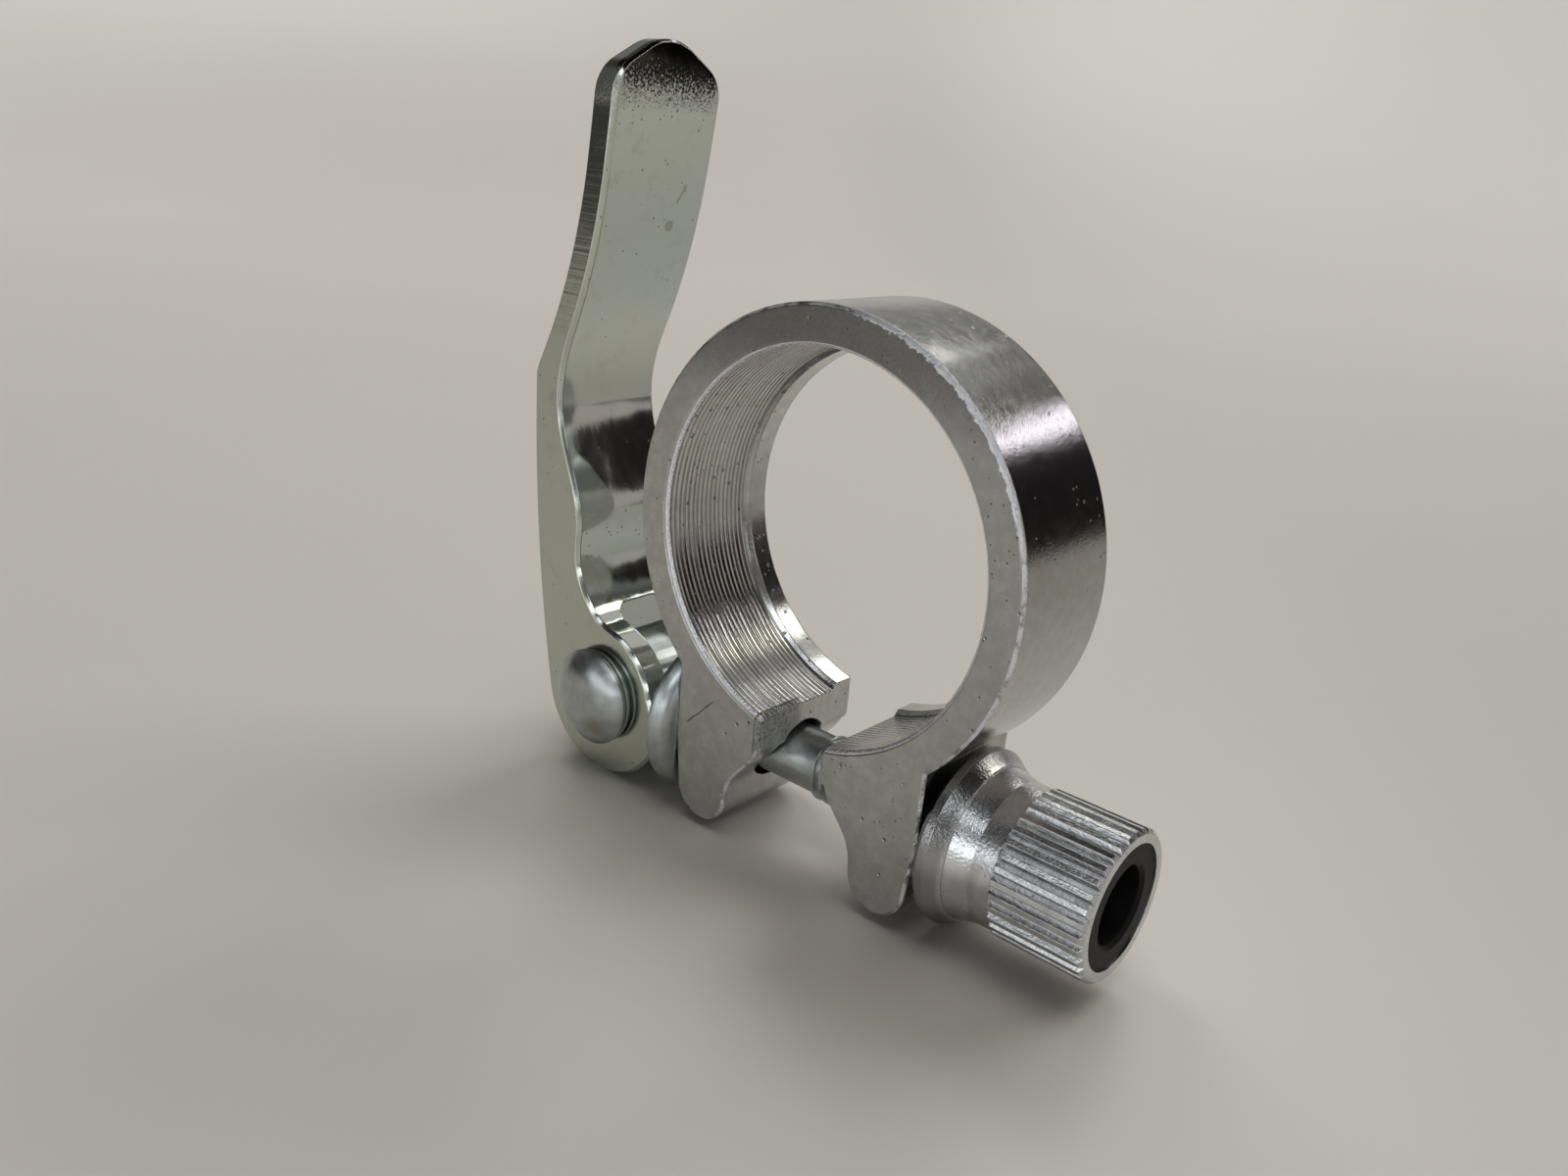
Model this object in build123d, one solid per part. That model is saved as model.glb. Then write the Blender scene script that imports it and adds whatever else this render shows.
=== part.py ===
from build123d import *
import os
from math import acos, asin, atan2, cos, hypot, radians, sin, sqrt

# Quick-release seat clamp for a bicycle seat tube, in millimetres.
# The bore runs along Y with its stop lip at +Y, the bolt runs along X with the lever at -X,
# and Z points up. The origin is the middle of the bore.

# Collar
bore_diameter = 31.8        # outside diameter of the seat tube that the collar grips
collar_wall = 3.2
collar_width = 12.0
lip_height = 0.5            # how far the stop lip stands in from the bore
lip_width = 2.0
mouth_chamfer = 0.4
collar_edge = 0.25          # bevel round the outline of both end faces

# Lugs and slit
slit_gap = 6.8
slit_depth = 1.4            # straight part of the slit below the bore
lug_span = 26.2             # across the outer faces of the two lugs
lug_foot = 5.7              # thickness of a lug at its rounded foot
lug_taper = 0.5             # how far the outer face leans in below the bolt
lug_reach = 7.0             # from the bolt axis down to the foot
bolt_hole_clearance = 0.35  # radial, round the bolt in the lugs

# Bolt
bolt_diameter = 5.9         # over the thread
shank_diameter = 5.3        # plain part between the eye and the thread
thread_length = 17.4        # from the tip to the shank
bolt_tip_inset = 8.0        # bolt tip behind the nut's end face
bolt_tip_chamfer = 0.8
eye_diameter = 10.0

# Washer under the cams
washer_diameter = 15.6
washer_thickness = 2.3
washer_bolt_clearance = 0.25
washer_bevel = 1.3          # edge towards the lug, where the washer passes the ring
washer_ring_clearance = 0.2
washer_edge = 0.4           # bevel towards the lever

# Cams and lever
cam_radius = 7.8
cam_rise = 0.25             # offset of the cam circle from the pivot
cam_clearance = 0.1         # between the closed cams and the washer
cam_start_angle = -10.0     # where the ear meets the cam circle, up from the bolt
ear_radius = 6.8            # round top of the ears, about the pivot
ear_low_angle = 15.0
ear_high_angle = 75.0
lever_length = 57.5         # from the pivot to the tip
lever_width = 11.7
lever_edge = 0.35           # bevel of the lever's long edges
back_radius = 145.0         # gentle curve of the back, from the cam circle to the kink
kink_height = 29.0          # outer corner of the lever, above the pivot
kink_offset = 10.6          # outwards from the pivot
kink_radius = 3.0
blade_thickness = 2.8
blade_top_height = 47.5     # end of the blade's long curve
blade_top_offset = 4.3
blade_curl = 21.6           # turn of the long curve, in degrees
tip_curl = 4.0              # further turn of the tip, away from the collar
blade_root_height = 33.0    # where the waved inner face leaves the blade
valley_height = 25.6
valley_offset = 6.9
belly_height = 15.2
belly_offset = 3.7
waist_height = 12.0
waist_offset = 3.75
shoulder_height = 7.35
shoulder_offset = 0.7
tip_roll_length = 4.6       # how far below the tip its inner face starts to roll back
tip_roll_radius = 22.0
tip_flare = 0.3             # widening of the blade on each side, from the kink to the tip
tip_rise = 3.6              # from the tip's shoulders to its nose, before rounding
tip_shoulder_radius = 3.2
tip_nose_radius = 5.0
fork_gap = 6.6
fork_height = 7.9           # from the pivot up to the end of the fork
fork_corner = 1.6
eye_side_clearance = 0.15   # on each side of the eye

# Rivet
rivet_diameter = 5.0
rivet_running_clearance = 0.05
rivet_head_diameter = 9.1
rivet_rim = 1.1             # straight side of the head
rivet_dome = 1.5
rivet_crown_diameter = 2.6  # flat at the top of the dome
rivet_set_end = 1.6         # thickness of the set end at the back
rivet_set_bevel = 0.7

# Nut
nut_slack = 0.6             # between the flange and the lug, the nut backed off part of a turn
nut_length = 14.1
thread_clearance = 0.06
flange_diameter = 14.8
flange_thickness = 2.4
flange_bevel = 0.5
flange_rim = 1.2            # to the start of the flange's taper
flange_taper = 0.8
flange_step = 0.15          # small edge between the taper and the neck
neck_diameter = 11.9
neck_cone = 1.9             # length of the cone from the flange down to the neck
barrel_diameter = 12.3
barrel_length = 7.9
knurl_ridges = 34
knurl_depth = 0.42
knurl_crest = 0.4           # flat share of one ridge
barrel_chamfer = 0.3
insert_diameter = 10.2
insert_hole_diameter = 6.4
insert_depth = 3.0
insert_inset = 0.15
insert_chamfer = 0.3

# Worked out from the sizes above
bore_radius = bore_diameter / 2
collar_radius = bore_radius + collar_wall
half_span = lug_span / 2
lug_foot_radius = lug_foot / 2
bolt_radius = bolt_diameter / 2
shank_radius = shank_diameter / 2
washer_radius = washer_diameter / 2

# The bolt lies just low enough for the washer's 45 degree bevel to pass the ring
bolt_drop = sqrt(2) * (collar_radius + washer_ring_clearance) + washer_radius - half_span - washer_bevel
washer_face = -half_span - washer_thickness
pivot_x = washer_face - cam_clearance - cam_radius - cam_rise
pivot_z = -bolt_drop
nut_face = half_span + nut_slack
nut_end = nut_face + nut_length
bolt_axis = Axis((0, 0, pivot_z), (1, 0, 0))
bolt_plane = Plane(origin=(0, 0, pivot_z), x_dir=(0, 1, 0), z_dir=(1, 0, 0))


def along_bolt(start, end, radius):
    """A round bar on the bolt axis, from one x to another."""
    return extrude(bolt_plane.offset(start) * Circle(radius), amount=end - start)


def turned_on_bolt(points):
    """A solid turned about the bolt axis from (x, radius) points of its half section."""
    profile = Polyline([(x, pivot_z + radius) for x, radius in points], close=True)
    return revolve(Plane.XZ * make_face(profile), bolt_axis)


def lug_outline():
    """The right-hand lug from the bore down to its foot, as a face in XZ."""
    half_gap = slit_gap / 2
    slit_end = -bore_radius - slit_depth
    foot_z = pivot_z - lug_reach + lug_foot_radius
    foot_outer = half_span - lug_taper
    foot_inner = foot_outer - lug_foot
    root = -sqrt(bore_radius ** 2 - half_gap ** 2)
    top = -sqrt((bore_radius + collar_wall / 2) ** 2 - half_span ** 2)
    slit_wall = Line((half_gap, root), (half_gap, slit_end))
    flare = Spline((half_gap, slit_end), (foot_inner, foot_z), tangents=[(0, -1), (0, -1)])
    foot_low = (foot_outer - lug_foot_radius, pivot_z - lug_reach)
    foot = ThreePointArc((foot_inner, foot_z), foot_low, (foot_outer, foot_z))
    outer_side = Polyline((foot_outer, foot_z), (half_span, pivot_z), (half_span, top), (half_gap, root))
    return make_face([slit_wall, flare, foot, outer_side])


def turned_on_bore(points):
    """A solid turned about the bore axis from (radius, y) points of its half section."""
    return revolve(make_face(Polyline(points, close=True)), Axis.Y)


def make_lug():
    lug = extrude(Plane.XZ * lug_outline(), amount=collar_width / 2, both=True)
    rim = lug.faces().filter_by(Axis.Y).edges().sort_by(Axis.Z)
    return chamfer(rim[:-2], collar_edge)


def make_collar():
    front = -collar_width / 2
    back = collar_width / 2
    lip_radius = bore_radius - lip_height
    disc = turned_on_bore([
        (0, front),
        (collar_radius - collar_edge, front),
        (collar_radius, front + collar_edge),
        (collar_radius, back - collar_edge),
        (collar_radius - collar_edge, back),
        (0, back),
    ])
    bore = turned_on_bore([
        (0, 2 * front),
        (bore_radius + mouth_chamfer, 2 * front),
        (bore_radius + mouth_chamfer, front),
        (bore_radius, front + mouth_chamfer),
        (bore_radius, back - lip_width - lip_height),
        (lip_radius, back - lip_width),
        (lip_radius, 2 * back),
        (0, 2 * back),
    ])
    slit = Pos(0, 0, -collar_radius) * Box(slit_gap, 2 * collar_width, 2 * collar_radius)
    lug = make_lug()
    bolt_hole = along_bolt(-2 * half_span, 2 * half_span, bolt_radius + bolt_hole_clearance)
    return disc - slit + lug + mirror(lug, Plane.YZ) - bore - bolt_hole


def make_washer():
    hole = bolt_radius + washer_bolt_clearance
    return turned_on_bolt([
        (washer_face, hole),
        (washer_face, washer_radius - washer_edge),
        (washer_face + washer_edge, washer_radius),
        (-half_span - washer_bevel, washer_radius),
        (-half_span, washer_radius - washer_bevel),
        (-half_span, hole),
    ])


def make_eye_bolt():
    eye_width = fork_gap - 2 * eye_side_clearance
    tip = nut_end - bolt_tip_inset
    thread_start = tip - thread_length
    eye = extrude(Plane.XZ * Circle(eye_diameter / 2), amount=eye_width / 2, both=True)
    shank_points = [
        (pivot_x, 0),
        (pivot_x, shank_radius),
        (thread_start, shank_radius),
        (thread_start + bolt_radius - shank_radius, bolt_radius),
        (tip - bolt_tip_chamfer, bolt_radius),
        (tip, bolt_radius - bolt_tip_chamfer),
        (tip, 0),
    ]
    shank = turned_on_bolt(shank_points)
    pivot_hole = Cylinder(rivet_diameter / 2 + rivet_running_clearance, 2 * eye_width, rotation=(90, 0, 0))
    return Pos(pivot_x, 0, pivot_z) * eye + shank - Pos(pivot_x, 0, pivot_z) * pivot_hole


def arc_about(centre, radius, start, end):
    """The arc about a centre from one angle to another, in radians."""
    angles = (start, (start + end) / 2, end)
    points = [(centre[0] + radius * cos(angle), centre[1] + radius * sin(angle)) for angle in angles]
    return ThreePointArc(*points)


def lever_outline():
    """Side profile of the lever about its pivot: u towards the collar, v up towards the tip."""
    cam_centre = (cam_rise, 0)
    kink = (-kink_offset, kink_height)
    blade_top = (-blade_top_offset, blade_top_height)

    # The back is an arc that touches the cam circle from outside and ends at the kink
    reach = hypot(kink[0] - cam_centre[0], kink[1])
    centre_distance = back_radius - cam_radius
    spread = acos((reach ** 2 + centre_distance ** 2 - back_radius ** 2) / (2 * reach * centre_distance))
    centre_angle = atan2(kink[1], kink[0] - cam_centre[0]) - spread
    back_centre = (cam_centre[0] + centre_distance * cos(centre_angle), centre_distance * sin(centre_angle))
    touch_angle = centre_angle + radians(180)
    kink_angle = radians(180) - asin((kink[1] - back_centre[1]) / back_radius)
    cam = arc_about(cam_centre, cam_radius, radians(cam_start_angle), touch_angle - 2 * radians(180))
    back = arc_about(back_centre, back_radius, touch_angle, kink_angle)

    # The blade's long curve, then the tip's curl, both turning away from the collar
    chord = (blade_top[0] - kink[0], blade_top[1] - kink[1])
    chord_lean = atan2(chord[0], chord[1])
    half_turn = radians(blade_curl) / 2
    blade_radius = hypot(*chord) / (2 * sin(half_turn))
    root_lean = chord_lean + half_turn
    top_lean = chord_lean - half_turn
    tip_lean = top_lean - radians(tip_curl)
    blade_centre = (kink[0] - blade_radius * cos(root_lean), kink[1] + blade_radius * sin(root_lean))
    tip_radius = (lever_length + blade_thickness - blade_top[1]) / (sin(top_lean) - sin(tip_lean))
    tip_centre = (blade_top[0] - tip_radius * cos(top_lean), blade_top[1] + tip_radius * sin(top_lean))
    inner_radius = blade_radius + blade_thickness
    blade_root_lean = asin((blade_centre[1] - blade_root_height) / inner_radius)
    back_curve = arc_about(blade_centre, blade_radius, -root_lean, -top_lean)
    back_tip = arc_about(tip_centre, tip_radius, -top_lean, -tip_lean)
    front_curve = arc_about(blade_centre, inner_radius, -top_lean, -blade_root_lean)

    # Near the tip the inner face rolls back and the blade thins
    front_radius = tip_radius + blade_thickness
    roll_lean = asin((tip_centre[1] - lever_length + tip_roll_length) / front_radius)
    roll_step = front_radius - tip_roll_radius
    roll_centre = (tip_centre[0] + roll_step * cos(roll_lean), tip_centre[1] - roll_step * sin(roll_lean))
    end_lean = asin((roll_centre[1] - (back_tip @ 1).Y) / tip_roll_radius)
    front_tip = arc_about(tip_centre, front_radius, -roll_lean, -top_lean)
    tip_roll = arc_about(roll_centre, tip_roll_radius, -end_lean, -roll_lean)
    tip_end = Line(back_tip @ 1, tip_roll @ 0)

    # The waved inner face runs into the round top of the ears
    ear = arc_about((0, 0), ear_radius, radians(ear_high_angle), radians(ear_low_angle))
    ear_side = Line(ear @ 1, cam @ 0)
    waved_points = [
        front_curve @ 1,
        (-valley_offset, valley_height),
        (-belly_offset, belly_height),
        (-waist_offset, waist_height),
        (-shoulder_offset, shoulder_height),
        ear @ 0,
    ]
    waved_face = Spline(waved_points, tangents=[front_curve % 1, ear % 0])
    blade = [back_curve, back_tip, tip_end, tip_roll, front_tip, front_curve]
    return make_face([cam, back] + blade + [waved_face, ear, ear_side])


def lever_front_view():
    """The lever seen from the collar: parallel sides, then a slight flare up to a rounded nose."""
    half_width = lever_width / 2
    tip_half_width = half_width + tip_flare
    nose_angle = atan2(tip_rise, tip_half_width)
    nose_height = lever_length + tip_nose_radius * (1 / cos(nose_angle) - 1)
    below = -2 * cam_radius
    shoulder_line = nose_height - tip_rise
    points = [
        (-half_width, below),
        (half_width, below),
        (half_width, kink_height),
        (tip_half_width, shoulder_line),
        (0, nose_height),
        (-tip_half_width, shoulder_line),
        (-half_width, kink_height),
    ]
    view = make_face(Polyline(points, close=True))
    shoulders = view.vertices().filter_by_position(Axis.Y, shoulder_line, shoulder_line)
    view = fillet(shoulders, tip_shoulder_radius)
    nose = view.vertices().sort_by_distance((0, nose_height))[0]
    return fillet(nose, tip_nose_radius)


def make_lever():
    facing = Plane(origin=(0, 0, 0), x_dir=(0, 1, 0), z_dir=(1, 0, 0))
    lever = extrude(Plane.XZ * lever_outline(), amount=lever_width / 2 + tip_flare, both=True)
    kink_edge = lever.edges().filter_by(Axis.Y).sort_by_distance((-kink_offset, 0, kink_height))[0]
    lever = fillet(kink_edge, kink_radius)
    lever = lever & extrude(facing * lever_front_view(), amount=2 * lever_length, both=True)
    rim = lever.edges().filter_by(Axis.Y, reverse=True).filter_by(Axis.X, reverse=True)
    lever = chamfer(rim, lever_edge)

    # The fork is open at the foot and rounded at its upper corners
    fork_foot = -2 * cam_radius
    fork = Pos(0, (fork_height + fork_foot) / 2) * Rectangle(fork_gap, fork_height - fork_foot)
    fork = fillet(fork.vertices().group_by(Axis.Y)[-1], fork_corner)
    lever -= extrude(facing * fork, amount=2 * lever_length, both=True)
    lever -= Cylinder(rivet_diameter / 2, 2 * lever_width, rotation=(90, 0, 0))
    return Pos(pivot_x, 0, pivot_z) * lever


def make_rivet():
    """Turned about the pivot: a domed head at the front and a flat set end at the back."""
    half_width = lever_width / 2
    pin_radius = rivet_diameter / 2
    head_radius = rivet_head_diameter / 2
    crown_radius = rivet_crown_diameter / 2
    dome_base = -half_width - rivet_rim
    dome_top = dome_base - rivet_dome
    back = half_width + rivet_set_end
    dome_run = head_radius - crown_radius
    dome_radius = (dome_run ** 2 + rivet_dome ** 2) / (2 * rivet_dome)
    dome_turn = asin(dome_run / dome_radius)
    quarter = radians(90)
    dome = arc_about((crown_radius, dome_top + dome_radius), dome_radius, -quarter, dome_turn - quarter)
    rest = Polyline(
        (head_radius, dome_base),
        (head_radius, -half_width),
        (pin_radius, -half_width),
        (pin_radius, half_width),
        (head_radius, half_width),
        (head_radius, back - rivet_set_bevel),
        (head_radius - rivet_set_bevel, back),
        (0, back),
        (0, dome_top),
        (crown_radius, dome_top),
    )
    return Pos(pivot_x, 0, pivot_z) * revolve(make_face([dome, rest]), Axis.Y)


def knurl_outline():
    """Cross section of the knurled barrel: flat crests with V grooves between them."""
    pitch = 2 * radians(180) / knurl_ridges
    crest = barrel_diameter / 2
    root = crest - knurl_depth
    points = []
    for ridge in range(knurl_ridges):
        start = ridge * pitch
        for share, radius in ((0, crest), (knurl_crest, crest), ((1 + knurl_crest) / 2, root)):
            angle = start + share * pitch
            points.append((radius * cos(angle), radius * sin(angle)))
    return make_face(Polyline(points, close=True))


def make_nut():
    flange_radius = flange_diameter / 2
    neck = neck_diameter / 2
    crest = barrel_diameter / 2
    flange_back = nut_face + flange_thickness
    flange_back_radius = flange_radius - flange_taper
    barrel_start = nut_end - barrel_length
    flange_and_neck = turned_on_bolt([
        (nut_face, 0),
        (nut_face, flange_radius - flange_bevel),
        (nut_face + flange_bevel, flange_radius),
        (nut_face + flange_rim, flange_radius),
        (flange_back, flange_back_radius),
        (flange_back, flange_back_radius - flange_step),
        (flange_back + neck_cone, neck),
        (barrel_start, neck),
        (barrel_start, 0),
    ])
    knurl = extrude(bolt_plane.offset(barrel_start) * knurl_outline(), amount=barrel_length)
    chamfered = turned_on_bolt([
        (barrel_start, 0),
        (barrel_start, crest),
        (nut_end - barrel_chamfer, crest),
        (nut_end, crest - barrel_chamfer),
        (nut_end, 0),
    ])
    nut = flange_and_neck + (knurl & chamfered)
    nut -= along_bolt(nut_face - flange_thickness, nut_end, bolt_radius + thread_clearance)
    seat_start = nut_end - insert_depth - insert_inset
    return nut - along_bolt(seat_start, nut_end + insert_depth, insert_diameter / 2)


def make_nut_insert():
    outer = insert_diameter / 2
    hole = insert_hole_diameter / 2
    front = nut_end - insert_inset
    back = front - insert_depth
    return turned_on_bolt([
        (back, hole),
        (back, outer),
        (front, outer),
        (front, hole + insert_chamfer),
        (front - insert_chamfer, hole),
    ])


pieces = {
    "clamp_collar": make_collar(),
    "cam_washer": make_washer(),
    "eye_bolt": make_eye_bolt(),
    "quick_release_lever": make_lever(),
    "pivot_rivet": make_rivet(),
    "adjusting_nut": make_nut(),
    "nut_insert": make_nut_insert(),
}

os.makedirs("parts", exist_ok=True)
for name, piece in pieces.items():
    export_step(piece, f"parts/{name}.step")
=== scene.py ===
from math import cos, pi, radians, sin

import bmesh
import bpy
import numpy as np
from mathutils import Matrix, Vector


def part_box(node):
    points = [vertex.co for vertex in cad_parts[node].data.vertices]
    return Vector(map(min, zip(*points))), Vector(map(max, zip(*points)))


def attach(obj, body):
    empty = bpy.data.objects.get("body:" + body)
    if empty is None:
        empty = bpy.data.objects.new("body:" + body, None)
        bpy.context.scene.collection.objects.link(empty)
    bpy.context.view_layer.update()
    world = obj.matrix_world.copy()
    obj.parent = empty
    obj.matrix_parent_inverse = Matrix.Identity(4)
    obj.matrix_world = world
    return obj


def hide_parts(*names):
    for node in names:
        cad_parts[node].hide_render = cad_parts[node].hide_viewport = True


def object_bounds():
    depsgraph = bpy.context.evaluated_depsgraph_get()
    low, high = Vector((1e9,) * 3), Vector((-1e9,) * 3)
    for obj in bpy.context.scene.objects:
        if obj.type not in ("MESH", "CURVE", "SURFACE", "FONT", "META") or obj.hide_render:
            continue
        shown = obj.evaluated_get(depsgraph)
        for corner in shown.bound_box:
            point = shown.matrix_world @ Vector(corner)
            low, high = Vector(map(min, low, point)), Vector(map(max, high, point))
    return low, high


# Looks of the quick-release seat clamp, in metres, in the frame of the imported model:
# bore along Y with the front face at -Y, bolt along X with the lever at -X, Z up.

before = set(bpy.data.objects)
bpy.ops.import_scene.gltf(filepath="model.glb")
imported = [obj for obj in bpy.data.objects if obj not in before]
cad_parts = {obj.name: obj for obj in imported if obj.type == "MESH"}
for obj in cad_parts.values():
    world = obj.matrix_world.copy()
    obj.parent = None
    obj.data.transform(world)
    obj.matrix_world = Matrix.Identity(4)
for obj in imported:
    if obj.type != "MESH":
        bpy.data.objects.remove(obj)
cad_box = [list(corner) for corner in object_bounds()]
floor_height = cad_box[0][2]

MM = 0.001
bore_radius = 15.9 * MM
ring_radius = 19.1 * MM
half_width = 6.0 * MM           # of the collar, from its middle to the front face
bolt_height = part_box("adjusting_nut")[0][2] * 0.5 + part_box("adjusting_nut")[1][2] * 0.5
bolt_radius = 2.95 * MM         # over the thread
thread_start = 0.1 * MM
thread_pitch = 1.0 * MM
thread_depth = 0.5 * MM
lever_side = 5.85 * MM          # half the lever's width
merge_distance = 1e-7
sharp_edge = radians(30)

# The photograph's camera: its lens, where it stands, and the directions to its right and behind it.
photo_width = 1600
focal_pixels = 1300
sensor_width = 36.0
camera_place = (0.0583208, -0.0795134, 0.0308157)
camera_right = Vector((0.74874, 0.65711, 0.08713)).normalized()
camera_back = Vector((0.59794, -0.72628, 0.33909)).normalized()


# Node writing

class Wire:
    """One output socket of a graph. Arithmetic on it adds Math nodes."""

    def __init__(self, graph, socket):
        self.graph = graph
        self.socket = socket

    def math(self, operation, *values):
        names = ("Value", "Value_001")
        return self.graph.add("ShaderNodeMath", {"operation": operation}, dict(zip(names, values)))

    def output(self, name):
        """Another output of the same node."""
        return Wire(self.graph, self.socket.node.outputs[name])

    def __add__(self, other):
        return self.math("ADD", self, other)

    def __radd__(self, other):
        return self.math("ADD", other, self)

    def __sub__(self, other):
        return self.math("SUBTRACT", self, other)

    def __rsub__(self, other):
        return self.math("SUBTRACT", other, self)

    def __mul__(self, other):
        return self.math("MULTIPLY", self, other)

    def __rmul__(self, other):
        return self.math("MULTIPLY", other, self)

    def size(self):
        return self.math("ABSOLUTE", self)

    def root(self):
        return self.math("SQRT", self)

    def sine(self):
        return self.math("SINE", self)

    def most(self, other):
        return self.math("MAXIMUM", self, other)

    def rise(self, low, high):
        """0 below low, 1 above high, and a smooth step between. With low above high it falls."""
        limits = {"Value": self, "From Min": low, "From Max": high, "To Min": 0.0, "To Max": 1.0}
        return self.graph.add("ShaderNodeMapRange", {"interpolation_type": "SMOOTHSTEP"}, limits)

    def within(self, low, full_low, full_high, high):
        """0 outside low to high, 1 from full_low to full_high, and smooth steps between."""
        return self.rise(low, full_low) * self.rise(high, full_high)


class Graph:
    """The nodes of one finish, or of the room's light."""

    def __init__(self, tree):
        self.tree = tree
        tree.nodes.clear()

    def add(self, kind, settings=None, sockets=None, output=0):
        """Any node: its settings are set first, then its sockets get values or links."""
        node = self.tree.nodes.new(kind)
        for name, value in (settings or {}).items():
            setattr(node, name, value)
        for name, value in (sockets or {}).items():
            target = next(s for s in node.inputs if name in (s.identifier, s.name))
            if isinstance(value, Wire):
                self.tree.links.new(value.socket, target)
            else:
                target.default_value = value
        return Wire(self, node.outputs[output]) if node.outputs else node

    def place(self):
        """Object coordinates, and their x, y and z, in metres."""
        point = self.add("ShaderNodeTexCoord").output("Object")
        split = self.add("ShaderNodeSeparateXYZ", sockets={"Vector": point})
        return point, split.output("X"), split.output("Y"), split.output("Z")

    def noise(self, point, scale, detail=2.0, roughness=0.5):
        """Cloudy noise from 0 to 1, with scale in lumps per metre."""
        values = {"Vector": point, "Scale": scale, "Detail": detail, "Roughness": roughness}
        return self.add("ShaderNodeTexNoise", sockets=values)

    def streaks(self, point, scales, detail=2.0, roughness=0.5):
        """Noise drawn out into streaks, with its own lumps per metre along x, y and z."""
        drawn_out = self.add("ShaderNodeMapping", sockets={"Vector": point, "Scale": scales})
        return self.noise(drawn_out, 1.0, detail, roughness)

    def specks(self, point, scale, radius, share):
        """Round specks: 1 inside a speck, in the given share of cells, with scale in cells per metre."""
        core = 0.4
        blur = 0.02
        cells = self.add("ShaderNodeTexVoronoi", sockets={"Vector": point, "Scale": scale})
        colour = self.add("ShaderNodeSeparateColor", sockets={"Color": cells.output("Color")})
        return cells.rise(radius, core * radius) * colour.output("Red").rise(share, share - blur)

    def mix(self, factor, first, second):
        """The first colour where the factor is 0, the second where it is 1."""
        values = {"Factor_Float": factor, "A_Color": first, "B_Color": second}
        return self.add("ShaderNodeMix", {"data_type": "RGBA"}, values, output=2)

    def dot(self, first, second):
        """The dot product of two vectors."""
        sockets = {"Vector": first, "Vector_001": second}
        return self.add("ShaderNodeVectorMath", {"operation": "DOT_PRODUCT"}, sockets, output="Value")

    def rounding(self, radius):
        """A normal that rolls over the edges, as if they were rounded by the radius, in metres."""
        return self.add("ShaderNodeBevel", {"samples": 8}, {"Radius": radius})

    def edges(self, radius):
        """1 along the edges and 0 away from them: how far the rounding turns the normal."""
        flat_cosine = 0.985
        turned_cosine = 0.95
        normal = self.add("ShaderNodeNewGeometry").output("Normal")
        return self.dot(normal, self.rounding(radius)).rise(flat_cosine, turned_cosine)

    def relief(self, edge_radius, *layers):
        """A normal that rolls over the edges, with layers of bump on it. Each layer has its height from 0 to 1,
        how far that stands up, in metres, and its strength."""
        normal = self.rounding(edge_radius)
        for height, distance, strength in layers:
            values = {"Height": height, "Distance": distance, "Strength": strength, "Normal": normal}
            normal = self.add("ShaderNodeBump", sockets=values)
        return normal


def round_spot(across, up, middle, outer, inner):
    """A round spot on a plane: 1 within the inner radius of its middle and 0 beyond the outer one."""
    side = across - middle[0]
    above = up - middle[1]
    return (side * side + above * above).root().rise(outer, inner)


def stroke(across, up, start, heading, wander=0.0):
    """How far a point on a plane is along a straight stroke from its start, and how far off it."""
    side = across - start[0]
    above = up - start[1]
    along = side * heading[0] + above * heading[1]
    off = side * heading[1] - above * heading[0] + wander
    return along, off.size()


def finish_graph(name):
    """A new material and its empty graph."""
    material = bpy.data.materials.new(name)
    material.use_nodes = True
    return material, Graph(material.node_tree)


def close_graph(graph, sockets):
    """Ends a finish in one Principled shader."""
    shader = graph.add("ShaderNodeBsdfPrincipled", sockets=sockets)
    graph.add("ShaderNodeOutputMaterial", sockets={"Surface": shader})


def close_metal(graph, base, roughness, normal):
    """Ends a finish in bare or plated metal."""
    close_graph(graph, {"Base Color": base, "Metallic": 1.0, "Roughness": roughness, "Normal": normal})


# Finishes

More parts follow.
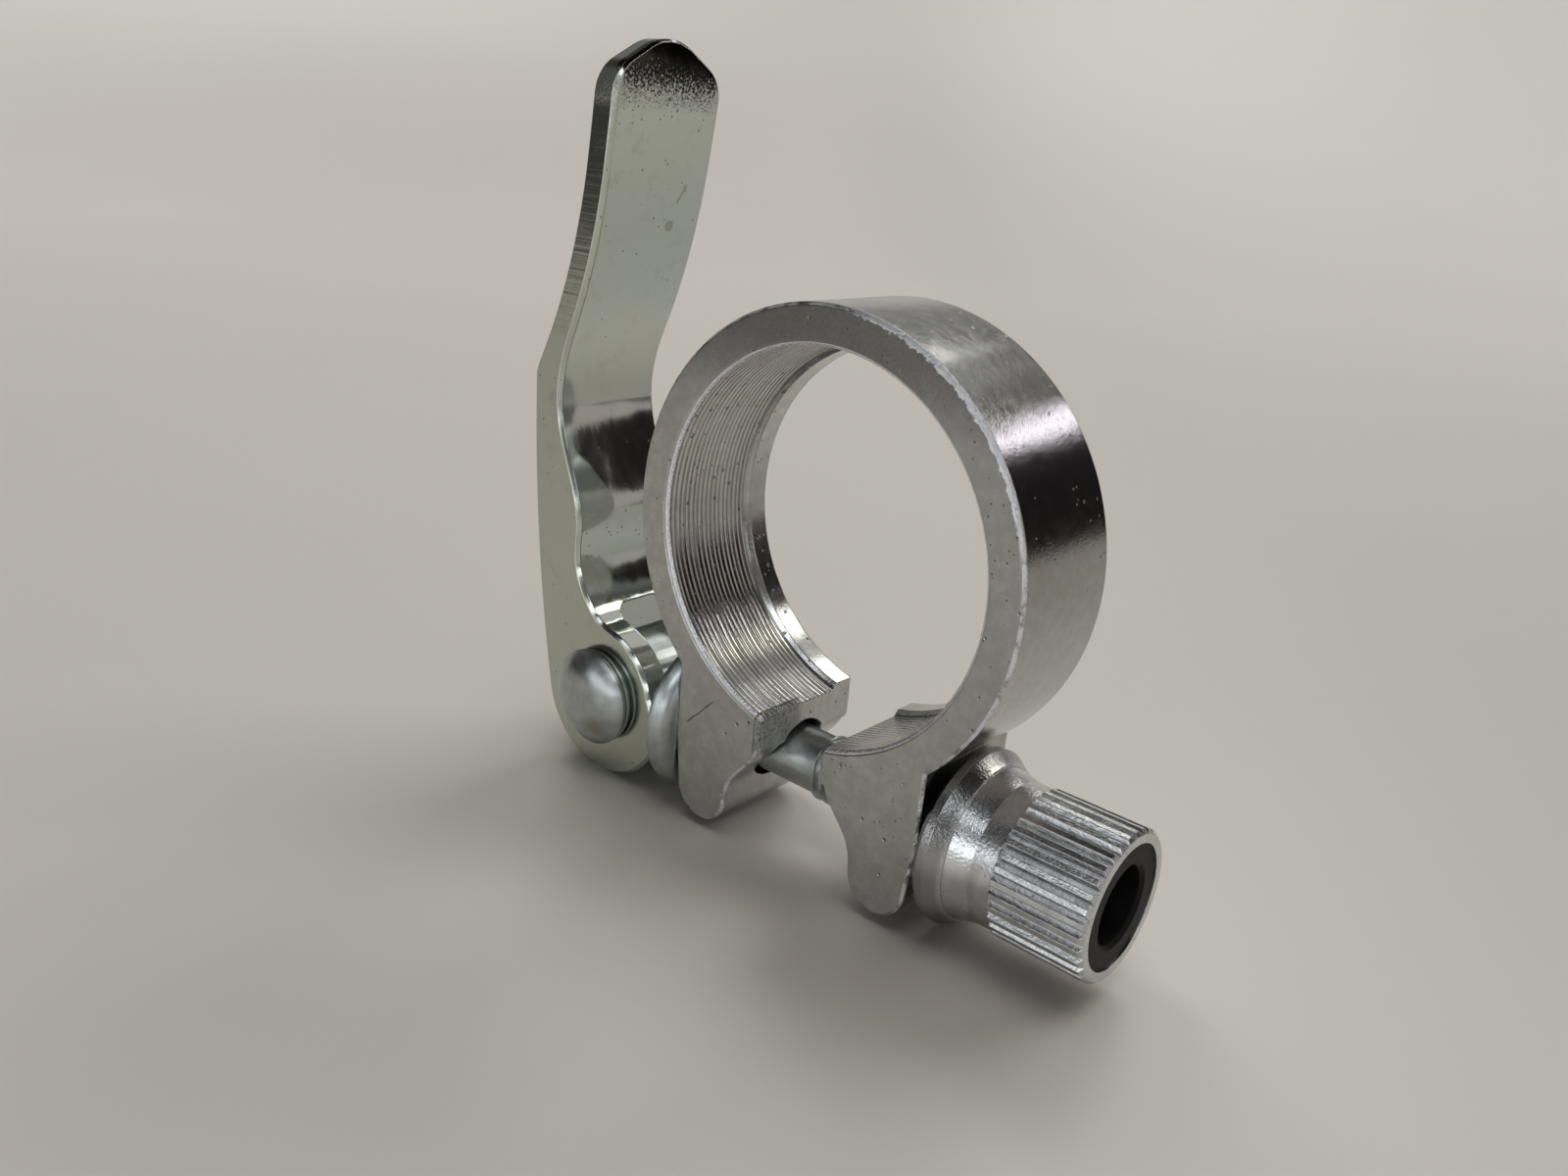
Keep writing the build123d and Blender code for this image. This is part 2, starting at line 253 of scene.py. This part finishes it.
def collar_finish():
    """Satin aluminium: tumbled end faces with pits and a scratch, bright edges that are partly chipped wear and
    partly a painted highlight round the bore's mouth, a smoother turned ring, a bore with turning grooves, and a
    rough sawn patch in the slit. Painted shade darkens the face's top and right, the ring away from the lever, and
    the grooves' troughs."""
    satin_grey = (0.47, 0.47, 0.455, 1)
    satin_pale = (0.58, 0.58, 0.565, 1)
    shade_grey = (0.22, 0.22, 0.22, 1)
    pit_dark = (0.16, 0.155, 0.15, 1)
    wear_and_highlight_white = (0.93, 0.94, 0.97, 1)
    groove_end = 3.6 * MM
    groove_pitch = 0.54 * MM
    scratch_start = (-11.9 * MM, -19.2 * MM)
    scratch_heading = (0.676, 0.737)
    slit_wall = -3.6 * MM

    material, graph = finish_graph("collar_satin")
    point, x, y, z = graph.place()
    radius = (x * x + z * z).root()
    behind_front = y + half_width
    out_of_bore = radius - bore_radius
    below_ring = ring_radius - radius
    on_face = (half_width - y.size()).rise(0.35 * MM, 0.2 * MM)
    in_bore = out_of_bore.rise(0.4 * MM, 0.1 * MM)
    in_grooves = in_bore * y.rise(groove_end + 0.1 * MM, groove_end)
    on_ring = below_ring.rise(0.25 * MM, 0.1 * MM) * (1 - on_face)

    grain = graph.noise(point, 5200.0, 3.0, 0.6)
    cloud = graph.noise(point, 260.0, 3.0, 0.55)
    blotch = graph.noise(point, 900.0, 4.0, 0.65)
    sparkle = graph.noise(point, 6500.0, 2.0, 0.6)
    pits = graph.specks(point, 800.0, 0.16, 0.38).most(graph.specks(point, 2100.0, 0.22, 0.22))
    nicks = pits * graph.noise(point, 120.0).rise(0.30, 0.48) * (1 - on_ring * 0.7)

    # Bright edges: chipped wear in blotches on the rim and at its upper right, and a painted highlight all round the
    # bore's mouth.
    in_mouth = out_of_bore.rise(0.32 * MM, 0.25 * MM) * behind_front.rise(0.45 * MM, 0.38 * MM)
    on_rim = below_ring.rise(0.45 * MM, 0.38 * MM) * behind_front.rise(0.4 * MM, 0.34 * MM)
    worn_and_highlit_edge = (in_mouth + on_rim * blotch.rise(0.35, 0.55)) * behind_front.rise(0.01 * MM, 0.05 * MM)
    chipped = below_ring - (graph.noise(point, 1500.0, 4.0, 0.7) - 0.5) * (1.3 * MM)
    upper_right = x.rise(0.5 * MM, 4.0 * MM) * z.rise(4.0 * MM, 9.0 * MM) * behind_front.rise(0.5 * MM, 0.4 * MM)
    worn_and_highlit_edge = worn_and_highlit_edge.most(chipped.rise(0.42 * MM, 0.32 * MM) * upper_right)

    wander = (cloud - 0.5) * (0.5 * MM)
    along, off = stroke(x, z, scratch_start, scratch_heading, wander)
    scratch = along.within(0.0, 0.4 * MM, 4.0 * MM, 4.6 * MM) * off.rise(0.09 * MM, 0.03 * MM)
    scratch = scratch * behind_front.rise(0.3 * MM, 0.2 * MM)

    on_slit = (x - slit_wall).size().rise(0.5 * MM, 0.35 * MM) * y.rise(0.0, -2.0 * MM)
    saw_rough = graph.noise(point, 2600.0, 4.0, 0.7)
    sawn = on_slit * z.within(-19.2 * MM, -18.0 * MM, -14.0 * MM, -12.0 * MM)

    groove_wave = (y * (2 * pi / groove_pitch)).sine()
    fine_wave = graph.streaks(point, (25.0, 5000.0, 25.0))
    grooves = (groove_wave * 0.4 + 0.5 + fine_wave * 0.5) * in_grooves
    groove_lines = groove_wave.rise(0.2, -0.8) * in_grooves * fine_wave.rise(0.3, 0.45)
    turning = graph.streaks(point, (700.0, 60.0, 700.0), 3.0) * on_ring

    # Painted shade: the face darkens towards its top and its right, the ring away from the lever's side, and the
    # troughs of the bore's grooves.
    painted_shade = on_ring * x.rise(-12.0 * MM, -5.0 * MM) * 0.3 + groove_lines * 0.85
    painted_shade = painted_shade.most(on_face * z.rise(8.0 * MM, 17.0 * MM) * (0.5 + grain * 0.65))
    painted_shade = painted_shade.most(on_face * x.rise(8.0 * MM, 17.0 * MM) * 0.22)
    marks = (nicks * 0.8).most(scratch * 0.7).most(sawn * saw_rough.rise(0.5, 0.62) * 0.8)
    base = graph.mix(blotch.rise(0.35, 0.75), satin_grey, satin_pale)
    # Painted shade: mixed towards a dark grey.
    base = graph.mix(painted_shade, base, shade_grey)
    base = graph.mix(marks, base, pit_dark)
    # Painted highlight and wear: the edges are mixed towards near white.
    base = graph.mix(worn_and_highlit_edge, base, wear_and_highlight_white)
    roughness = 0.27 + grain * 0.12 - on_ring * 0.17 - in_bore * 0.17 + (blotch - 0.5) * 0.12 + worn_and_highlit_edge * 0.1
    normal = graph.relief(
        0.18 * MM,
        (grain, 0.018 * MM, 0.5),
        (cloud + turning * 0.3, 0.05 * MM, 0.5),
        (grooves, 0.05 * MM, 1.0),
        (sparkle * worn_and_highlit_edge, 0.12 * MM, 1.0),
        (saw_rough * sawn, 0.3 * MM, 1.0),
        (1 - nicks.most(scratch), 0.06 * MM, 1.0),
    )
    close_metal(graph, base, roughness, normal)
    return material


def nut_finish():
    """Bright turned aluminium: fine turning marks round the bolt axis, a flange painted darker as shade, a rough
    knurl, rings on the end face, and a few dark specks."""
    bright_grey = (0.58, 0.585, 0.595, 1)
    bright_pale = (0.72, 0.725, 0.735, 1)
    flange_shade_grey = (0.27, 0.265, 0.26, 1)
    speck_dark = (0.14, 0.14, 0.14, 1)
    flange_end = 15.6 * MM
    knurl_start = 20.0 * MM
    end_face = 27.5 * MM
    ring_pitch = 0.22 * MM

    material, graph = finish_graph("nut_turned")
    point, x, y, z = graph.place()
    drop = z - bolt_height
    radius = (y * y + drop * drop).root()
    on_flange = x.rise(flange_end + 0.6 * MM, flange_end)
    on_knurl = x.rise(knurl_start - 0.2 * MM, knurl_start)
    on_end = x.rise(end_face - 0.2 * MM, end_face)

    grain = graph.noise(point, 4200.0, 3.0, 0.6)
    blotch = graph.noise(point, 700.0, 4.0, 0.6)
    specks = graph.specks(point, 1300.0, 0.16, 0.3)
    turning = graph.streaks(point, (5200.0, 90.0, 90.0))
    rings = (radius * (2 * pi / ring_pitch)).sine() * on_end
    chatter = graph.streaks(point, (700.0, 2600.0, 2600.0), 4.0, 0.7) * on_knurl

    base = graph.mix(blotch.rise(0.35, 0.75), bright_grey, bright_pale)
    # Painted shade: the flange is mixed towards a dark grey.
    base = graph.mix(on_flange * 0.7, base, flange_shade_grey)
    base = graph.mix(specks * 0.7, base, speck_dark)
    roughness = 0.14 + grain * 0.12 + (blotch - 0.5) * 0.14
    normal = graph.relief(
        0.1 * MM,
        (grain, 0.05 * MM, 0.7),
        (turning + rings * 0.2, 0.006 * MM, 0.6),
        (chatter, 0.06 * MM, 0.8),
    )
    close_metal(graph, base, roughness, normal)
    return material


def lever_finish():
    """Bright plating: slightly waved mirror faces, sheared sides with cross lines, edges painted bright as a
    highlight, specks, a spot and a rub mark on the blade, a blade painted paler towards the tip as a sheen, and a
    grained tip painted near black as a dark reflection."""
    plate_cool = (0.53, 0.595, 0.57, 1)
    plate_warm = (0.56, 0.585, 0.545, 1)
    plate_tip_sheen = (0.72, 0.77, 0.715, 1)
    plate_side = (0.555, 0.58, 0.51, 1)
    worn_grey = (0.50, 0.52, 0.48, 1)
    speck_dark = (0.10, 0.095, 0.08, 1)
    mark_olive = (0.25, 0.25, 0.17, 1)
    tip_reflection_black = (0.015, 0.012, 0.010, 1)
    edge_highlight = (0.90, 0.90, 0.88, 1)
    speck_middle = (-1.5 * MM, 25.4 * MM)
    spot_middle = (2.2 * MM, 21.7 * MM)
    rub_start = (2.6 * MM, 23.7 * MM)
    rub_heading = (0.47, 0.88)

    material, graph = finish_graph("lever_bright_plate")
    point, x, y, z = graph.place()
    on_side = (lever_side - y.size()).rise(0.3 * MM, 0.15 * MM)
    on_blade = z.rise(7.0 * MM, 16.0 * MM)
    near_tip = z.rise(14.0 * MM, 34.0 * MM)
    on_tip_front = x.rise(-25.4 * MM, -25.0 * MM) * y.size().rise(5.5 * MM, 5.2 * MM)
    on_blade_front = x.rise(-27.2 * MM, -26.8 * MM)
    on_edge = graph.edges(0.14 * MM)

    waves = graph.noise(point, 160.0, 2.0, 0.5)
    peel = graph.noise(point, 1500.0, 2.0, 0.5)
    sparkle = graph.noise(point, 6500.0, 2.0, 0.6)
    shear = graph.streaks(point, (60.0, 60.0, 2600.0), 3.0) * on_side * on_blade
    worn = graph.noise(point, 420.0, 4.0, 0.65).rise(0.52, 0.75)
    tint = graph.noise(point, 90.0, 2.0, 0.5).rise(0.35, 0.65)
    tip_grain = graph.noise(point, 3600.0, 3.0, 0.7) * z.within(30.5 * MM, 32.0 * MM, 33.4 * MM, 34.6 * MM)
    # Painted reflection: the top of the tip's front is painted near black, with a ragged lower boundary.
    tip_height = z + (graph.noise(point, 4000.0, 3.0, 0.75) - 0.5) * (13.0 * MM)
    painted_dark_tip = tip_height.rise(32.4 * MM, 33.6 * MM) * on_tip_front

    speckled = round_spot(y, z, speck_middle, 4.0 * MM, 2.0 * MM)
    specks = graph.specks(point, 1500.0, 0.17, 0.14 + near_tip * 0.45 + speckled * 0.25)
    along, off = stroke(y, z, rub_start, rub_heading)
    rub = along.within(-0.2 * MM, 0.2 * MM, 1.5 * MM, 2.0 * MM) * off.rise(0.2 * MM, 0.08 * MM)
    spot = round_spot(y, z, spot_middle, 0.62 * MM, 0.35 * MM)
    marks = spot.most(rub) * on_blade_front

    base = graph.mix(tint, plate_cool, plate_warm)
    # Painted sheen: the blade is painted paler towards the tip.
    base = graph.mix(near_tip, base, plate_tip_sheen)
    base = graph.mix(on_side, base, plate_side)
    base = graph.mix(worn * 0.8, base, worn_grey)
    base = graph.mix(specks * 0.85, base, speck_dark)
    base = graph.mix(marks * 0.5, base, mark_olive)
    # Painted reflection: the tip's front is mixed towards near black.
    base = graph.mix(painted_dark_tip * 0.95, base, tip_reflection_black)
    # Painted highlight: the edges are mixed towards near white.
    base = graph.mix(on_edge, base, edge_highlight)
    roughness = 0.075 + worn * 0.06 + on_side * 0.125 + on_edge * 0.15 + tip_grain * 0.15 + specks * 0.3
    normal = graph.relief(
        0.2 * MM,
        (waves, 0.16 * MM, 0.25),
        (peel, 0.004 * MM, 0.5),
        (shear, 0.02 * MM, 0.8),
        (tip_grain, 0.05 * MM, 1.0),
        (sparkle * on_edge, 0.07 * MM, 1.0),
    )
    close_metal(graph, base, roughness, normal)
    return material


def zinc_finish():
    """Blue-grey zinc plating with a soft mottle, and an olive reflection painted on the rivet's dome."""
    zinc_grey = (0.395, 0.42, 0.42, 1)
    zinc_pale = (0.51, 0.535, 0.53, 1)
    reflection_olive = (0.30, 0.29, 0.20, 1)
    reflection_middle = (-21.6 * MM, -22.7 * MM)

    material, graph = finish_graph("zinc_plating")
    point, x, y, z = graph.place()
    mottle = graph.noise(point, 800.0, 4.0, 0.6)
    grain = graph.noise(point, 5000.0, 2.0, 0.5)
    on_dome = y.rise(-6.6 * MM, -7.0 * MM)
    # Painted reflection: a dark olive spot on the rivet's dome.
    dome_reflection = round_spot(x, z, reflection_middle, 1.3 * MM, 0.4 * MM) * on_dome
    base = graph.mix(mottle.rise(0.3, 0.7), zinc_grey, zinc_pale)
    base = graph.mix(dome_reflection * 0.7, base, reflection_olive)
    roughness = 0.25 + mottle * 0.14
    normal = graph.relief(0.12 * MM, (grain, 0.006 * MM, 0.5), (mottle, 0.01 * MM, 0.4))
    close_metal(graph, base, roughness, normal)
    return material


def insert_finish():
    """Black moulded plastic with a faint grain."""
    black = (0.002, 0.002, 0.002, 1)
    soft_black = (0.007, 0.007, 0.007, 1)
    material, graph = finish_graph("insert_black_plastic")
    point = graph.place()[0]
    grain = graph.noise(point, 3000.0, 3.0, 0.6)
    close_graph(graph, {
        "Base Color": graph.mix(grain, black, soft_black),
        "Roughness": 0.42 + grain * 0.2,
        "Specular IOR Level": 0.18,
        "Normal": graph.relief(0.1 * MM, (grain, 0.02 * MM, 0.4)),
    })
    return material


def floor_finish():
    """Matt pale laminate with faint clouds. The table is painted a little darker on the right as shade, the backdrop
    is painted paler on the left as light and darker on the right as shade, and both glow a little towards the left
    as painted light."""
    table_dark = (0.64, 0.62, 0.57, 1)
    table_pale = (0.68, 0.66, 0.61, 1)
    table_right_shade = (0.50, 0.485, 0.445, 1)
    back_right = (0.54, 0.525, 0.50, 1)
    back_left_lit = (0.92, 0.90, 0.87, 1)
    no_glow = (0, 0, 0, 1)
    left_painted_glow = (0.17, 0.165, 0.165, 1)
    backdrop_rise = 0.18
    left_heading = (-0.75, -0.66)

    material, graph = finish_graph("pale_floor")
    point, x, y, z = graph.place()
    leftness = x * left_heading[0] + y * left_heading[1]
    cloud = graph.noise(point, 9.0, 3.0, 0.5)
    table = graph.mix(cloud, table_dark, table_pale)
    # Painted shade on the table's right, painted light and shade across the backdrop, and a painted glow towards the
    # left.
    table = graph.mix(leftness.rise(0.0, -0.10) * 0.5, table, table_right_shade)
    back = graph.mix(leftness.rise(-0.4, 0.45), back_right, back_left_lit)
    close_graph(graph, {
        "Base Color": graph.mix(z.rise(floor_height, floor_height + backdrop_rise), table, back),
        "Roughness": 0.42,
        "Emission Color": graph.mix(leftness.rise(0.0, 1.0), no_glow, left_painted_glow),
        "Emission Strength": 1.0,
    })
    return material


# Pieces

def link(name, mesh, material):
    """A piece with one finish, put into the scene."""
    mesh.materials.clear()
    mesh.materials.append(material)
    piece = bpy.data.objects.new(name, mesh)
    bpy.context.scene.collection.objects.link(piece)
    return piece


def grid_mesh(name, points, wrap):
    """A mesh on a grid of points, shaped rows by columns by 3. With wrap the last column joins the first."""
    rows, columns = points.shape[:2]
    index = np.arange(rows * columns).reshape(rows, columns)
    beside = np.roll(index, -1, axis=1) if wrap else index[:, 1:]
    here = index if wrap else index[:, :-1]
    faces = np.stack([here[:-1], beside[:-1], beside[1:], here[1:]], axis=-1).reshape(-1, 4)
    mesh = bpy.data.meshes.new(name)
    mesh.from_pydata(points.reshape(-1, 3).tolist(), [], faces.tolist())
    mesh.polygons.foreach_set("use_smooth", np.ones(len(faces), dtype=bool))
    mesh.update()
    return mesh


def outward(mesh):
    """Merges doubles and turns the faces outwards."""
    work = bmesh.new()
    work.from_mesh(mesh)
    bmesh.ops.remove_doubles(work, verts=work.verts, dist=merge_distance)
    bmesh.ops.recalc_face_normals(work, faces=work.faces)
    work.to_mesh(mesh)
    work.free()


def turned(name, profile, centre, axis, material):
    """A surface turned about an axis. At turn angle a, a profile point at distance t along the axis and radius r
    lies at centre + t * axis + r * (cos a * up + sin a * across)."""
    turn_steps = 128
    angles = np.linspace(0, 2 * pi, turn_steps, endpoint=False)[:, None]
    axis = np.array(axis)
    up = np.array((0.0, 0.0, 1.0))
    spokes = np.cos(angles) * up + np.sin(angles) * np.cross(axis, up)
    points = np.array(centre) + profile[:, 0, None, None] * axis + profile[:, 1, None, None] * spokes
    mesh = grid_mesh(name, points, True)
    outward(mesh)
    mesh.set_sharp_from_angle(angle=sharp_edge)
    return link(name, mesh, material)


def rivet(material):
    """The rivet, turned about the lever's pivot: a flat set end, the pin, a neck, a ring and a groove under a lip,
    and a dome that is an arc from the lip to the crown."""
    low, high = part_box("pivot_rivet")
    pivot = (0.5 * (low[0] + high[0]), 0.0, 0.5 * (low[2] + high[2]))
    head = 0.5 * (high[0] - low[0])
    pin = 2.5 * MM
    set_bevel = 0.7 * MM
    crown = 1.3 * MM
    dome_rise = 1.5 * MM
    dome_steps = 16
    neck = head - 0.45 * MM
    ring = head - 0.1 * MM
    groove = head - 0.4 * MM
    lip = low[1] + dome_rise
    shelf = -lever_side
    step = (shelf - lip) / 4
    body = np.array([
        (high[1], 0.0),
        (high[1], head - set_bevel),
        (high[1] - set_bevel, head),
        (lever_side, head),
        (lever_side, pin),
        (shelf, pin),
        (shelf, neck),
        (shelf - step, neck),
        (shelf - step, ring),
        (shelf - 2 * step, ring),
        (shelf - 2 * step, groove),
        (shelf - 3 * step, groove),
        (shelf - 3 * step, head),
    ])
    dome_radius = ((head - crown) ** 2 + dome_rise ** 2) / (2 * dome_rise)
    turn = np.linspace(np.arcsin((head - crown) / dome_radius), 0.0, dome_steps)
    dome = np.stack([low[1] + dome_radius * (1 - np.cos(turn)), crown + dome_radius * np.sin(turn)], axis=1)
    profile = np.vstack([body, dome, [(low[1], 0.0)]])
    return turned("rivet", profile, pivot, (0.0, 1.0, 0.0), material)


def washer(material):
    """The washer, turned about the bolt: its edge towards the lug is a quarter of an ellipse."""
    low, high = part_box("cam_washer")
    rim = 0.5 * (high[2] - low[2])
    hole = 3.2 * MM
    bevel = 0.4 * MM
    depth = 1.8 * MM
    edge_steps = 20
    width = high[0] - low[0] - bevel
    turn = np.linspace(0, 0.5 * pi, edge_steps)
    edge = np.stack([low[0] + bevel + width * np.sin(turn), rim - depth * (1 - np.cos(turn))], axis=1)
    profile = np.vstack([[(low[0], hole), (low[0], rim - bevel)], edge, [(high[0], hole), (low[0], hole)]])
    return turned("washer", profile, (0.0, 0.0, bolt_height), (1.0, 0.0, 0.0), material)


def bolt_shank(material):
    """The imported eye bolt, cut off where its thread starts."""
    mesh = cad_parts["eye_bolt"].data.copy()
    work = bmesh.new()
    work.from_mesh(mesh)
    bmesh.ops.remove_doubles(work, verts=work.verts, dist=merge_distance)
    everything = list(work.verts) + list(work.edges) + list(work.faces)
    cut = bmesh.ops.bisect_plane(work, geom=everything, plane_co=(thread_start, 0, 0), plane_no=(1, 0, 0),
                                 clear_outer=True)
    rim = [item for item in cut["geom_cut"] if isinstance(item, bmesh.types.BMEdge)]
    bmesh.ops.contextual_create(work, geom=rim)
    work.to_mesh(mesh)
    work.free()
    mesh.set_sharp_from_angle(angle=sharp_edge)
    return link("bolt_shank", mesh, material)


def bolt_thread(material):
    """The bolt's threaded end. At turn angle a and distance along the bolt x, the radius is the bolt radius less
    the thread depth times a triangle wave of x / pitch - a / (2 pi), with flats at its crests and roots. It fades in
    over the run-in and ends in a bevel at the tip."""
    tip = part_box("eye_bolt")[1][0]
    sides = 48
    rows_per_turn = 8
    overlap = 0.02 * MM
    run_in = 0.3 * MM
    tip_bevel = 0.8 * MM
    flank_gain = 1.3
    flank_shift = 0.15
    sharp_thread = radians(50)
    angles = np.linspace(0, 2 * pi, sides, endpoint=False)[None, :]
    rows = int((tip - thread_start) / thread_pitch * rows_per_turn)
    along = np.linspace(thread_start - overlap, tip, rows)[:, None]
    turns = along / thread_pitch - angles / (2 * pi)
    wave = np.abs(2 * (turns - np.floor(turns)) - 1)
    fade = np.clip((along - thread_start) / run_in, 0, 1)
    depth = thread_depth * np.clip(wave * flank_gain - flank_shift, 0, 1) * fade
    radius = np.minimum(bolt_radius - depth, bolt_radius - tip_bevel + (tip - along))
    ends = np.zeros((1, sides))
    radius = np.vstack([ends, radius, ends])
    along = np.vstack([along[:1], along, along[-1:]]) + 0 * angles
    points = np.stack([along, radius * np.cos(angles), bolt_height + radius * np.sin(angles)], axis=-1)
    mesh = grid_mesh("bolt_thread", points, True)
    outward(mesh)
    mesh.set_sharp_from_angle(angle=sharp_thread)
    return link("bolt_thread", mesh, material)


def studio_floor(material):
    """A table that turns up behind the object: a straight run ahead of the camera, then an arc.
    Its left and right edges spread with the distance ahead."""
    front = -1.0
    bend = 0.45
    bend_radius = 1.0
    bend_angle = radians(52)
    arc_steps = 40
    left_reach = 0.38
    left_spread = 0.70
    right_reach = 0.46
    right_spread = 0.60
    arc = np.linspace(0, bend_angle, arc_steps)
    ahead = np.concatenate([[front, 0.0], bend + bend_radius * np.sin(arc)])
    height = np.concatenate([[0.0, 0.0], bend_radius * (1 - np.cos(arc))])
    left_edge = -left_reach - left_spread * np.maximum(ahead, 0)
    right_edge = right_reach + right_spread * np.maximum(ahead, 0)
    across = np.stack([left_edge, right_edge], axis=1)
    right = np.array(Vector((camera_right.x, camera_right.y, 0)).normalized())
    forward = np.array(Vector((-camera_back.x, -camera_back.y, 0)).normalized())
    points = across[:, :, None] * right + ahead[:, None, None] * forward
    points[..., 2] = floor_height + height[:, None]
    floor = link("studio_floor", grid_mesh("studio_floor", points, False), material)


# Light and camera

def aim(azimuth, elevation):
    """The unit vector towards an azimuth from -Y towards +X and an elevation, in degrees."""
    turn = radians(azimuth)
    lift = radians(elevation)
    return Vector((sin(turn) * cos(lift), -cos(turn) * cos(lift), sin(lift)))


def soft_panel(name, azimuth, elevation, distance, size, power, colour, mirrored):
    """A lamp aimed at the object, with azimuth from -Y towards +X, in degrees, and sizes in metres.
    A mirrored lamp shows in the metal, and the others light the floor and the plastic."""
    place = aim(azimuth, elevation) * distance
    lamp = bpy.data.lights.new(name, "AREA")
    lamp.shape = "RECTANGLE"
    lamp.size, lamp.size_y = size
    lamp.energy = power
    lamp.color = colour
    holder = bpy.data.objects.new(name, lamp)
    holder.location = place
    holder.visible_camera = False
    holder.visible_glossy = mirrored
    holder.visible_diffuse = not mirrored
    holder.rotation_euler = (-place).to_track_quat("-Z", "Y").to_euler()
    bpy.context.scene.collection.objects.link(holder)


def studio_lamps():
    """The lamps: azimuth, elevation, distance, size, power, colour, and whether the metal mirrors them."""
    far = 2.2
    near = 0.205
    cool_white = (0.93, 0.97, 1.0)
    warm_white = (1.0, 0.985, 0.965)
    rose_white = (1.0, 0.93, 1.0)
    pale_yellow = (1.0, 1.0, 0.90)
    cream_white = (1.0, 1.0, 0.95)
    lamps = {
        "back_right_strip": (163, 25.5, far, (0.50, 0.12), 0.95, rose_white, True),
        "back_right_panel": (158, 43, far, (0.36, 0.60), 4.0, pale_yellow, True),
        "back_panel": (-161, 39, far, (0.70, 0.28), 2.8, cream_white, True),
        "front_top_panel": (42, 47, far, (0.90, 0.70), 4.0, cool_white, True),
        "front_high_panel": (24, 42, far, (0.50, 0.60), 2.4, cool_white, True),
        "front_left_high_panel": (-6, 51, far, (0.70, 0.30), 1.2, cool_white, True),
        "front_left_low_panel": (-11, 13, far, (1.25, 0.85), 5.0, cool_white, True),
        "front_right_panel": (66, 14, far, (0.40, 0.70), 1.0, cool_white, True),
        "front_near_card": (20, 5, near, (0.12, 0.034), 0.036, cool_white, True),
        "back_right_fill": (155, 32, far, (0.90, 0.80), 10.5, warm_white, False),
        "back_fill": (-172, 40, far, (1.00, 0.80), 12.5, warm_white, False),
        "left_fill": (-115, 50, far, (0.80, 0.80), 7.5, warm_white, False),
        "overhead_fill": (36, 86, far, (1.40, 1.40), 11.5, warm_white, False),
    }
    for name, values in lamps.items():
        soft_panel(name, *values)


def room_light():
    """A dim room: grey walls under a dark ceiling, with paler and darker patches round given directions. A patch has
    its azimuth, its elevation, the angles where it is full and where it ends, in degrees, and its colour."""
    ceiling = (0.032, 0.029, 0.027, 1)
    wall = (0.16, 0.155, 0.15, 1)
    wall_top = sin(radians(34))
    ceiling_edge = sin(radians(42))
    patches = (
        (106, 10, 27, 28.5, (0.47, 0.43, 0.41, 1)),
        (153, 14, 20.8, 21.8, (0.014, 0.012, 0.012, 1)),
        (-56, 8, 20, 28, (0.030, 0.028, 0.028, 1)),
        (-145, 20, 10, 20, (0.30, 0.295, 0.28, 1)),
        (-176, 49, 13, 20, (0.62, 0.615, 0.59, 1)),
    )
    world = bpy.data.worlds.new("soft_room")
    world.use_nodes = True
    graph = Graph(world.node_tree)
    direction = graph.add("ShaderNodeTexCoord").output("Generated")
    height = graph.add("ShaderNodeSeparateXYZ", sockets={"Vector": direction}).output("Z")
    colour = graph.mix(height.rise(ceiling_edge, wall_top), ceiling, wall)
    for azimuth, elevation, full, end, tone in patches:
        nearness = graph.dot(direction, aim(azimuth, elevation))
        colour = graph.mix(nearness.rise(cos(radians(end)), cos(radians(full))), colour, tone)
    background = graph.add("ShaderNodeBackground", sockets={"Color": colour, "Strength": 1.0})
    graph.add("ShaderNodeOutputWorld", sockets={"Surface": background})
    bpy.context.scene.world = world


def photo_camera():
    """The camera at the photograph's viewing angle."""
    lens = bpy.data.cameras.new("photo_camera")
    lens.sensor_fit = "HORIZONTAL"
    lens.sensor_width = sensor_width
    lens.lens = sensor_width * focal_pixels / photo_width
    lens.clip_start = 0.005
    turn = Matrix((camera_right, camera_back.cross(camera_right), camera_back)).transposed().to_4x4()
    camera = bpy.data.objects.new("photo_camera", lens)
    camera.matrix_world = Matrix.Translation(camera_place) @ turn
    bpy.context.scene.collection.objects.link(camera)
    bpy.context.scene.camera = camera


# Making the object

node_finishes = {
    "clamp_collar": collar_finish(),
    "quick_release_lever": lever_finish(),
    "adjusting_nut": nut_finish(),
    "nut_insert": insert_finish(),
}
for node, finish in node_finishes.items():
    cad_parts[node].material_slots[0].material = finish

plated_pieces = (
    (bolt_shank, "eye_bolt", "bolt"),
    (bolt_thread, "eye_bolt", "bolt"),
    (rivet, "pivot_rivet", "lever"),
    (washer, "cam_washer", "collar"),
)
zinc_plating = zinc_finish()
for make, node, body in plated_pieces:
    piece = make(zinc_plating)
    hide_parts(node)
    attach(piece, body)

photo_camera()
studio_floor(floor_finish())
room_light()
studio_lamps()
bpy.context.scene.view_settings.view_transform = "Standard"
